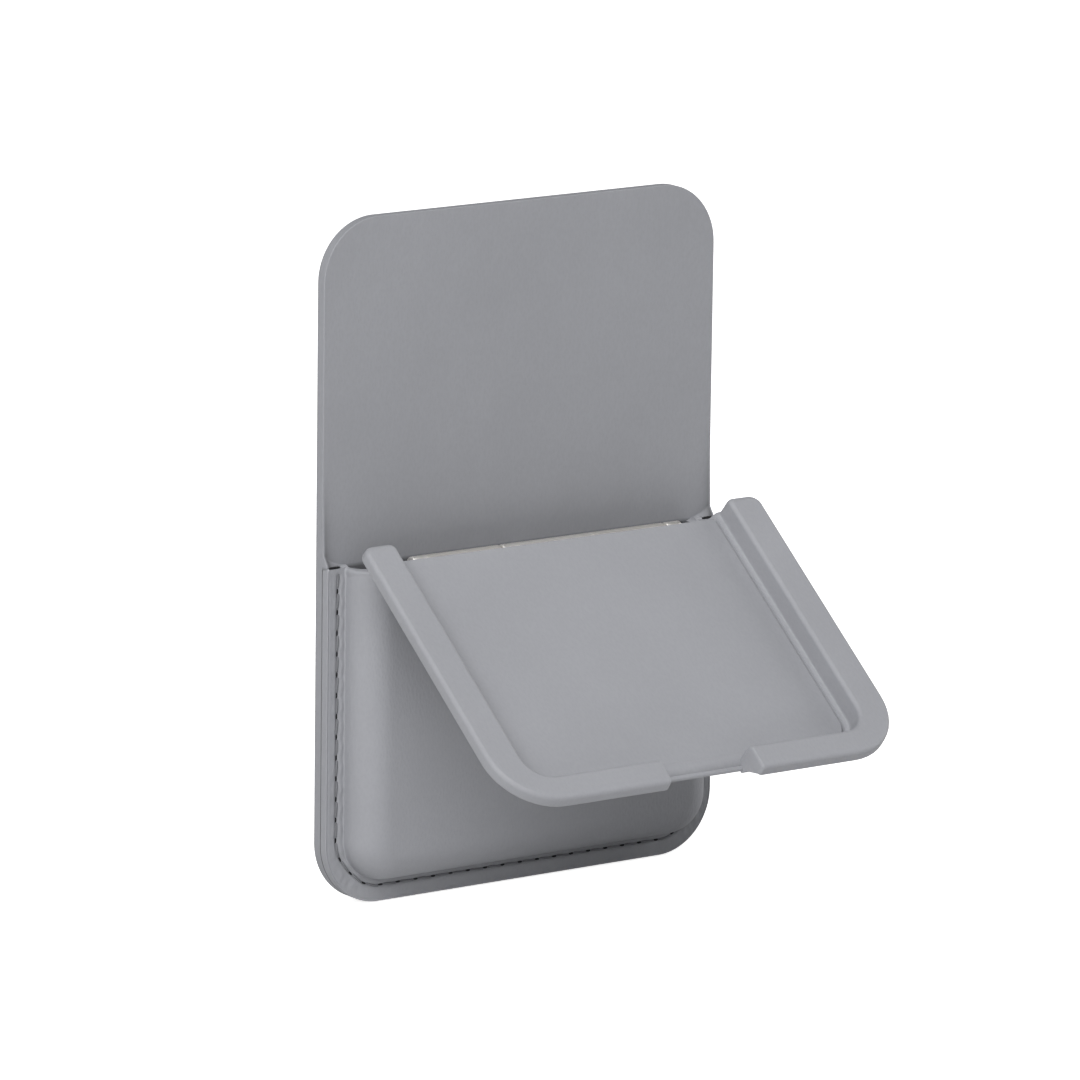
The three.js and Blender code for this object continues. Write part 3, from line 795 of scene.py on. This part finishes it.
def slit_cutter(side):
    """The opening's block, thinner towards both ends."""
    ends = ((SLIT_FROM - SLIT_TAPER, 0.5), (SLIT_FROM, 1.0), (SLIT_TO, 1.0), (SLIT_TO + SLIT_TAPER, 0.5))
    rows = []
    for x, grow in ends:
        section = (
            (SLIT_BACK, -0.2 * grow), (SLIT_BACK, SLIT_HIGH), (SLIT_FRONT, SLIT_HIGH),
            (SLIT_FRONT, -0.24 * grow), (SLIT_MIDDLE, -0.21 * grow),
        )
        rows.append([(side * x, y, SLIT_Z + height) for y, height in section])
    return prism(rows)


body = boolean(body, [loft_flat(cavity), relief, slit_cutter(-1), slit_cutter(1)])


def in_mouth(edge):
    """Whether an edge runs along the recess for the hinge."""
    a, b = (v.co for v in edge.verts)
    lip = abs(a.z + RELIEF) < 2e-3 and abs(b.z + RELIEF) < 2e-3
    return lip and edge.is_manifold and edge.calc_face_angle(0) > 0.6


bmesh.ops.bevel(
    body,
    geom=[e for e in body.edges if in_mouth(e)],
    offset=0.22,
    segments=3,
    profile=0.5,
    affect="EDGES",
    clamp_overlap=True,
)
pocket_cover = make("cover_pocket", body, BACK_PLACE, cover_mat, "back", angle=45)
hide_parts("pocket_skin")


# Stitches: each one dives into a needle hole at both ends
SEAM_FLOOR = GROOVE_DEPTH - FLANGE_FRONT
STITCH_GAP = 0.7
STITCH_RISE, STITCH_DIVE = 0.14, -0.14
STITCH_RADIUS, STITCH_TIP = 0.17, 0.12
STITCH_LEAN, LEAN_SPREAD = 0.09, 0.03
HOLE_LENGTH = 0.9
HOLE_TIP, HOLE_SWELL = 0.03, 0.19
SEAM_RUNS = (
    ("left", SIDE_RUN), ("turn_left", TURN_RUN), ("low", 2 * CORNER_X),
    ("turn_right", TURN_RUN), ("right", SIDE_RUN),
)


def on_seam(along, across=0.0):
    """The point at a length along the seam, and a distance across it."""
    along = min(max(along, 0.0), SEAM_LENGTH)
    out = seam_out(along) + across
    for kind, run in SEAM_RUNS:
        if along <= run or kind == "right":
            share = min(along / run, 1.0)
            if kind == "right":
                share = 1 - share
            return pocket_point(kind, share, out, 0.0, FLANGE_HIGH - 0.6)
        along -= run


def tube(bm, points, radii, sides=8, flat=1.0):
    """A round or flattened rod along points."""
    rows = []
    points = [Vector(p) for p in points]
    for i, point in enumerate(points):
        along = (points[min(i + 1, len(points) - 1)] - points[max(i - 1, 0)]).normalized()
        side = along.cross(Vector((0, 1, 0))).normalized()
        up = side.cross(along).normalized()
        rows.append([
            point
            + side * (radii[i] * math.cos(2 * math.pi * k / sides))
            + up * (radii[i] * flat * math.sin(2 * math.pi * k / sides))
            for k in range(sides)
        ])
    skin(bm, rows)


stitch_bm, hole_shade_bm = bmesh.new(), bmesh.new()
rng = np.random.default_rng(7)
for i in range(stitch_count):
    start = i * stitch_pitch
    lean = STITCH_LEAN + rng.uniform(-LEAN_SPREAD, LEAN_SPREAD)
    length = stitch_pitch - STITCH_GAP
    points, radii = [], []
    for t in np.linspace(0, 1, 13):
        inner = 0 < t < 1
        x, z = on_seam(start + STITCH_GAP / 2 + t * length, lean * (2 * t - 1))
        lift = STITCH_RISE * math.sin(math.pi * t) ** 0.6 if inner else STITCH_DIVE
        points.append((x, SEAM_FLOOR - lift, z))
        radii.append(STITCH_RADIUS if inner else STITCH_TIP)
    tube(stitch_bm, points, radii)
# Flat black rods at the needle holes: painted shade
for i in range(stitch_count + 1):
    points, radii = [], []
    for t in np.linspace(0, 1, 9):
        x, z = on_seam(i * stitch_pitch + (t - 0.5) * HOLE_LENGTH)
        points.append((x + t * 1e-4, SEAM_FLOOR + 0.02, z - t * 1e-4))
        radii.append(HOLE_TIP + HOLE_SWELL * math.sin(math.pi * t) ** 0.5)
    tube(hole_shade_bm, points, radii, flat=0.3)
# Black rods inside the ears' openings: painted shade
for side in (-1, 1):
    spots = np.linspace(0, 1, 9)
    points = [(side * (SLIT_FROM + (SLIT_TO - SLIT_FROM) * t), SLIT_SHADE_DEPTH, SLIT_Z - 0.03) for t in spots]
    tube(hole_shade_bm, points, [0.08 + 0.1 * math.sin(math.pi * t) ** 0.5 for t in spots])
stitches = make("stitches", stitch_bm, BACK_PLACE, thread_mat, "back", angle=60)
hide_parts("seam_thread")
make("needle_hole_shades", hole_shade_bm, BACK_PLACE, hole_shade_mat, "back", angle=60)


# Lid: the floor block, two rails with the rim, and the sill in the notch
NOTCH_DRAW = 0.22
DRAW_MIDDLE = 1.2
DRAW_FROM, DRAW_TO = NOTCH_HALF + 1.4, NOTCH_HALF + 2.2
BLOCK_TOP = 1.6
LINING_EDGE = LID_FLOOR - 0.02
RAIL_LEVELS = (5.5, 5.2)
WALL_RISES = (0.8, 0.5, 0.36, 0.24, 0.18, 0.12, 0.08, 0.04, 0.0)
END_FROM, END_DRAW = 4.7, 0.55
HINGE_ROUND, NOTCH_ROUND, LIP_ROUND = 1.6, 0.55, 0.25
SMALLEST_ROUND = 0.05
# The rim's inner wall: its rise over the lining, and how far it still leans in there
FOOT = ((0, 0.75), (0.04, 0.5), (0.12, 0.22), (0.24, 0.12), (0.5, 0.08), (2.7, 0.0))


def block_inset(n):
    """How far the block's soft edge has drawn in at a depth."""
    depth = n - LID_FRONT
    if depth >= SOFT_EDGE:
        return 0.0
    return SOFT_EDGE * (1 - math.sin(math.acos(1 - depth / SOFT_EDGE)))


def lid_loop(inset, low):
    """The block's outline, drawn in a little under the notch."""
    loop = rect(BLOCK_HALF - inset, low, BLOCK_END - inset, 0.25, BLOCK_CORNER - inset)
    middle = len(loop) // 2
    dip = []
    for x in np.linspace(DRAW_MIDDLE + DRAW_TO, DRAW_MIDDLE - DRAW_TO, 51):
        share = 1 - smooth_step(abs(x - DRAW_MIDDLE), DRAW_FROM, DRAW_TO)
        dip.append((x, BLOCK_END - inset - NOTCH_DRAW * share))
    return loop[:middle] + dip + loop[middle:]


levels = [LID_FRONT + depth for _, depth in quarter_round(SOFT_EDGE, 16)]
block_rings = [(lid_loop(SOFT_EDGE + 0.8, RELIEF), LID_FRONT)]
block_rings += [(lid_loop(block_inset(n), RELIEF), n) for n in levels if n < BLOCK_TOP]
for inset, depth in reversed(quarter_round(0.6, 6)):
    n = COVER_FLOOR - depth
    block_rings.append((lid_loop(block_inset(n) + inset, RELIEF), n))
block_rings += [(lid_loop(block_inset(COVER_FLOOR) + 1.4, RELIEF + 0.3), COVER_FLOOR)]
lid_block = loft_flat(block_rings)


def rail_loop(outer, inner, hinge_end, notch_end, hinge_radius, notch_radius, inner_radius=0.9):
    """The left rail's outline. Each side is drawn in by its own distance."""
    half = LID_HALF - outer
    top = LID_TOP - outer
    corner = LID_CORNER - outer
    inside = LID_INSIDE + inner
    front = CAVITY_END + inner
    turn = max(CAVITY_CORNER + inner, 0.3)
    low = LID_LOW + hinge_end
    stop = -NOTCH_HALF - notch_end
    hinge_radius = max(hinge_radius, SMALLEST_ROUND)
    notch_radius = max(notch_radius, SMALLEST_ROUND)
    loop = arc(-half + hinge_radius, low + hinge_radius, hinge_radius, 270, 180, 6)
    loop += arc(corner - half, top - corner, corner, 180, 90, 12)
    loop += arc(stop - notch_radius, top - notch_radius, notch_radius, 90, 0, 5)
    loop += arc(stop - LIP_ROUND, front + LIP_ROUND, LIP_ROUND, 0, -90, 3)
    loop += arc(turn - inside, front - turn, turn, 90, 180, 12)
    loop += arc(-inside - inner_radius, low + inner_radius, inner_radius, 0, -90, 6)
    return loop


def foot(n):
    """How far the rim's inner wall leans in at a depth."""
    rises, leans = zip(*FOOT)
    return float(np.interp(n - LINING_EDGE, rises, leans))


def hinge_draw(n):
    """The rim's end beside the hinge is rounded over towards its top."""
    t = min(max((n - END_FROM) / (LID_TIP - END_FROM), 0.0), 1.0)
    return END_DRAW * (1 - math.sqrt(1 - t * t * 0.98))


def rail(end):
    """The left rail from its tip down. The end moves its stop at the notch."""
    rings = [(rail_loop(1.5, 1.5, 1.5 + hinge_draw(LID_TIP), 1.5 + end, 0.3, 0.3, 0.3), LID_TIP)]
    for inset, depth in quarter_round(RIM_ROUND, 8):
        n = LID_TIP - depth
        low, stop = inset + hinge_draw(n), 0.4 * inset + end
        radii = (HINGE_ROUND - inset, NOTCH_ROUND - 0.6 * inset, 0.95 - inset)
        rings.append((rail_loop(inset, inset, low, stop, *radii), n))
    for n in RAIL_LEVELS:
        rings.append((rail_loop(0, -foot(n), hinge_draw(n), end, HINGE_ROUND, NOTCH_ROUND), n))
    for inset, depth in reversed(quarter_round(RIM_UNDER, 8)):
        n = RIM_FRONT + depth
        low = 0.5 * inset + hinge_draw(n)
        rings.append((rail_loop(inset, -foot(n), low, end, HINGE_ROUND, NOTCH_ROUND), n))
    edge = LID_HALF - BLOCK_HALF
    rings.append((rail_loop(1.6, -foot(RIM_FRONT), 0.33, end, 1.3, 0.45), RIM_FRONT))
    for inset, depth in quarter_round(0.35, 4)[1:]:
        n = RIM_FRONT - depth
        rings.append((rail_loop(edge - inset + 0.01, -foot(n), 0, end, 0.9, 0.4), n))
    for rise in WALL_RISES:
        n = LINING_EDGE + rise
        outer = edge + block_inset(n) + 0.01
        rings.append((rail_loop(outer, -foot(n), 0, end, 0.7, 0.35, 0.9 - 0.4 * foot(n)), n))
    outer = edge + block_inset(BLOCK_TOP) + 0.02
    rings.append((rail_loop(outer, -FLOOR_ROUND, 0, end, 0.4, 0.3, 0.3), BLOCK_TOP))
    rings.append((rail_loop(edge + block_inset(1.0) + 0.02, 0.0, 0, end, 0.2, 0.2, 0.2), 1.0))
    return loft_flat(rings)


def add_to(target, source, mirror=False):
    """The source's faces go into the target, mirrored across the middle if asked."""
    mesh = bpy.data.meshes.new("join")
    if mirror:
        for v in source.verts:
            v.co.x = -v.co.x
        bmesh.ops.reverse_faces(source, faces=source.faces)
    source.to_mesh(mesh)
    source.free()
    target.from_mesh(mesh)
    bpy.data.meshes.remove(mesh)


add_to(lid_block, rail(-LID_ASIDE))
add_to(lid_block, rail(LID_ASIDE), mirror=True)

# The sill: level with the lining and rolled over the lid's front edge
SILL_ROLL = 1.35
SILL_CENTRE = (42.72, LINING_EDGE - SILL_ROLL)
SILL_BACK = 41.0
SILL_OVERLAP = 1.5
profile = [(SILL_BACK, 1.2), (SILL_BACK, LINING_EDGE)]
profile += [(u, LINING_EDGE) for u in np.linspace(SILL_BACK + 0.5, SILL_CENTRE[0] - 0.05, 4)]
profile += arc(*SILL_CENTRE, SILL_ROLL, 90, 30, 14)
profile += [(BLOCK_END - NOTCH_DRAW - block_inset(n) + 0.005, n) for n in (1.75, 1.5, 1.2)]
sill_span = np.linspace(-NOTCH_HALF - SILL_OVERLAP, NOTCH_HALF + LID_ASIDE + SILL_OVERLAP, 25)
add_to(lid_block, prism([[(x, n, u) for u, n in profile] for x in sill_span]))

# Under each lip's end the rim is filled out down to the sill, and the filling fades away along the rim
WEB_BACK = 43.0
WEB_LOW = 1.6
WEB_TOP = RIM_FRONT + 0.5
WEB_FRONT = BLOCK_END + 0.1
WEB_STEP = 0.5
for side, lip in ((-1, NOTCH_HALF - LID_ASIDE), (1, NOTCH_HALF + LID_ASIDE)):
    rows = []
    for i in range(7):
        fade = 1 - smooth_step(i, 1, 6)
        section = (
            (WEB_BACK, WEB_LOW), (BLOCK_END - 0.9, WEB_LOW), (BLOCK_END - 0.3, 2.7 + 0.3 * (1 - fade)),
            (WEB_FRONT + 1.3 * fade, RIM_FRONT - 0.1 * fade), (WEB_FRONT + 1.5 * fade, WEB_TOP),
            (WEB_BACK, WEB_TOP),
        )
        rows.append([(side * (lip + 0.05 + WEB_STEP * i), n, u) for u, n in section])
    add_to(lid_block, prism(rows))
lid_cover = make("cover_lid", lid_block, LID_PLACE, lid_mat, "lid")
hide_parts("lid_skin")


# Lining of the lid's floor
LINING_REAR = COVER_FLOOR + 0.03
LINING_GROW = 0.05


def floor_loop(inset):
    """The lining's outline, drawn in by a distance."""
    corner = CAVITY_CORNER - FLOOR_ROUND - inset
    half = LID_INSIDE - FLOOR_ROUND - inset
    return rect(half, RELIEF + inset, CAVITY_END - FLOOR_ROUND - inset, 0.45, corner)


floor_rings = [(floor_loop(0.6), LINING_REAR), (floor_loop(-LINING_GROW), LINING_REAR)]
floor_rings += [
    (floor_loop(inset - LINING_GROW), LID_FLOOR - depth)
    for inset, depth in reversed(quarter_round(0.06, 4))
]
floor_rings += [(floor_loop(0.9), LID_FLOOR)]
lid_lining = make("lining_lid", loft_flat(floor_rings), LID_PLACE, floor_mat, "lid")
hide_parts("lid_lining")


# Hinge: turned knuckles on thin leaves
LEAF_BACK = 0.6
LEAF_START, LEAF_END = 1.25, 9
STRAP_END = 1.8
KNUCKLE_TRIM = 0.03
KNUCKLE_PROFILE = (
    (0, 0.5), (0, BARREL - 0.12), (0.05, BARREL - 0.04), (0.14, BARREL),
)


def knuckle(bm, x, length, sides=40):
    """A turned barrel with eased ends."""
    half = length / 2
    ends = [(dx - half, radius) for dx, radius in KNUCKLE_PROFILE]
    ends += [(half - dx, radius) for dx, radius in reversed(KNUCKLE_PROFILE)]
    turns = [2 * math.pi * k / sides for k in range(sides)]
    skin(bm, [[(x + dx, radius * math.cos(a), radius * math.sin(a)) for a in turns] for dx, radius in ends])


def hinge(knuckles, side):
    """A leaf with its knuckles, on one side of the hinge line."""
    bm = bmesh.new()
    for x, length in knuckles:
        knuckle(bm, x, length)
        half = length / 2 - KNUCKLE_TRIM
        add_to(bm, box_mesh(x - half, x + half, LEAF_BACK, BARREL - 0.01, 0, side * STRAP_END))
    leaf = box_mesh(
        -HINGE_HALF, HINGE_HALF, LEAF_BACK, BARREL - 0.005, side * LEAF_START, side * LEAF_END,
    )
    add_to(bm, leaf)
    bmesh.ops.recalc_face_normals(bm, faces=bm.faces)
    return bm


inner_x = (MIDDLE_KNUCKLE + LID_KNUCKLE) / 2 + KNUCKLE_GAP
end_x = HINGE_HALF - END_KNUCKLE / 2
# The pocket's knuckles take the lit copy of the metal and the lid's the shaded copy: painted light and
# shade
pocket_hinge = make(
    "hinge_pocket",
    hinge([(-end_x, END_KNUCKLE), (0, MIDDLE_KNUCKLE), (end_x, END_KNUCKLE)], -1),
    HINGE_PLACE, lit_hinge_metal, "back",
)
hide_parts("hinge_leaf_pocket")
lid_hinge = make(
    "hinge_lid",
    hinge([(-inner_x, LID_KNUCKLE), (inner_x, LID_KNUCKLE)], 1),
    LID_PLACE, shaded_hinge_metal, "lid",
)
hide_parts("hinge_leaf_lid")

# The other nodes of the frame keep their shapes
finishes = {
    "panel_core": board_mat, "pocket_shell": board_mat, "lid_shell": tray_mat,
    "ring_shield": sheet_mat, "keeper_left": sheet_mat, "keeper_right": sheet_mat,
    "alignment_magnet": magnet_mat, "lid_magnet_left": magnet_mat, "lid_magnet_right": magnet_mat,
    "hinge_pin": pin_mat,
}
for name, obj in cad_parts.items():
    finish = finishes.get(name, magnet_mat if name.startswith("ring_magnet") else None)
    if finish:
        obj.data.materials.clear()
        obj.data.materials.append(finish)

# Floor
FLOOR_HALF = 3
FLOOR_GAP = 0.0002
floor_z = cad_box[0][2] - FLOOR_GAP
mesh = bpy.data.meshes.new("floor")
corners = ((-1, -1), (1, -1), (1, 1), (-1, 1))
mesh.from_pydata([(FLOOR_HALF * x, FLOOR_HALF * y, floor_z) for x, y in corners], [], [(0, 1, 2, 3)])
floor = bpy.data.objects.new("floor", mesh)
bpy.context.scene.collection.objects.link(floor)
material = bpy.data.materials.new("pale_floor")
material.use_nodes = True
tree = material.node_tree
tree.nodes.remove(tree.nodes["Principled BSDF"])
seen = node(tree, "ShaderNodeLightPath")
pale = node(tree, "ShaderNodeBsdfDiffuse", Color=(0.82, 0.82, 0.82, 1))
glow = node(tree, "ShaderNodeEmission")
glow.inputs["Color"].default_value = (1, 1, 1, 1)
more = node(tree, "ShaderNodeMath", operation="MAXIMUM")
tree.links.new(seen.outputs["Is Camera Ray"], more.inputs[0])
tree.links.new(seen.outputs["Is Transmission Ray"], more.inputs[1])
level = node(tree, "ShaderNodeMath", operation="MULTIPLY")
level.inputs[1].default_value = 0.85
tree.links.new(more.outputs["Value"], level.inputs[0])
tree.links.new(level.outputs["Value"], glow.inputs["Strength"])
add = node(tree, "ShaderNodeAddShader")
tree.links.new(pale.outputs["BSDF"], add.inputs[0])
tree.links.new(glow.outputs["Emission"], add.inputs[1])
tree.links.new(add.outputs["Shader"], tree.nodes["Material Output"].inputs["Surface"])
mesh.materials.append(material)

# World: soft grey light, white where the camera sees it
world = bpy.data.worlds.new("studio")
bpy.context.scene.world = world
world.use_nodes = True
tree = world.node_tree
back = tree.nodes["Background"]
back.inputs["Color"].default_value = (0.97, 0.985, 1.0, 1)
back.inputs["Strength"].default_value = 0.08
white = node(tree, "ShaderNodeBackground")
white.inputs["Color"].default_value = (1, 1, 1, 1)
white.inputs["Strength"].default_value = 1.0
seen = node(tree, "ShaderNodeLightPath")
both = node(tree, "ShaderNodeMath", operation="MAXIMUM")
tree.links.new(seen.outputs["Is Camera Ray"], both.inputs[0])
tree.links.new(seen.outputs["Is Transmission Ray"], both.inputs[1])
mix = node(tree, "ShaderNodeMixShader")
tree.links.new(both.outputs["Value"], mix.inputs["Fac"])
tree.links.new(back.outputs["Background"], mix.inputs[1])
tree.links.new(white.outputs["Background"], mix.inputs[2])
tree.links.new(mix.outputs["Shader"], tree.nodes["World Output"].inputs["Surface"])


# Lamps: a disk each, at one distance
LAMP_DISTANCE = 1.3
LAMP_SIZE = 1.1


def area_light(name, direction, power):
    """A disk lamp that faces the object from a direction."""
    data = bpy.data.lights.new(name, "AREA")
    data.shape = "DISK"
    data.size = LAMP_SIZE
    data.energy = power
    obj = bpy.data.objects.new(name, data)
    bpy.context.scene.collection.objects.link(obj)
    towards = Vector(direction).normalized()
    obj.location = towards * LAMP_DISTANCE
    obj.rotation_euler = towards.to_track_quat("Z", "Y").to_euler()


area_light("key", (-0.6, -0.6, 0.6), 14.8)
area_light("side", (-0.7, -0.2, 0.7), 6.8)
area_light("top", (0.0, -0.15, 1.0), 2.6)
area_light("fill", (1.0, -0.2, 0.3), 8.6)

# Camera
PHOTO_SIZE = 1080
SENSOR = 36
AZIMUTH = math.radians(35.419)
ELEVATION = math.radians(12.081)
ROLL = math.radians(0.745)
DISTANCE, FOCAL = 1162.141, 8281.059
SHIFT_X, SHIFT_Y = 4.212, -0.700
toward = Vector((
    -math.sin(AZIMUTH) * math.cos(ELEVATION), -math.cos(AZIMUTH) * math.cos(ELEVATION), math.sin(ELEVATION),
))
right = Vector((math.cos(AZIMUTH), -math.sin(AZIMUTH), 0))
up = toward.cross(right)
side = right * math.cos(ROLL) + up * math.sin(ROLL)
top = up * math.cos(ROLL) - right * math.sin(ROLL)
eye = toward * DISTANCE + side * SHIFT_X + top * SHIFT_Y + Vector((0, 0, -RING_RISE))
camera_data = bpy.data.cameras.new("camera")
camera_data.sensor_width = SENSOR
camera_data.lens = FOCAL / PHOTO_SIZE * SENSOR
camera_data.clip_end = 20
camera = bpy.data.objects.new("camera", camera_data)
bpy.context.scene.collection.objects.link(camera)
camera.matrix_world = Matrix.Translation(eye * MM) @ Matrix((side, top, toward)).transposed().to_4x4()
bpy.context.scene.camera = camera
bpy.context.scene.view_settings.view_transform = "Standard"
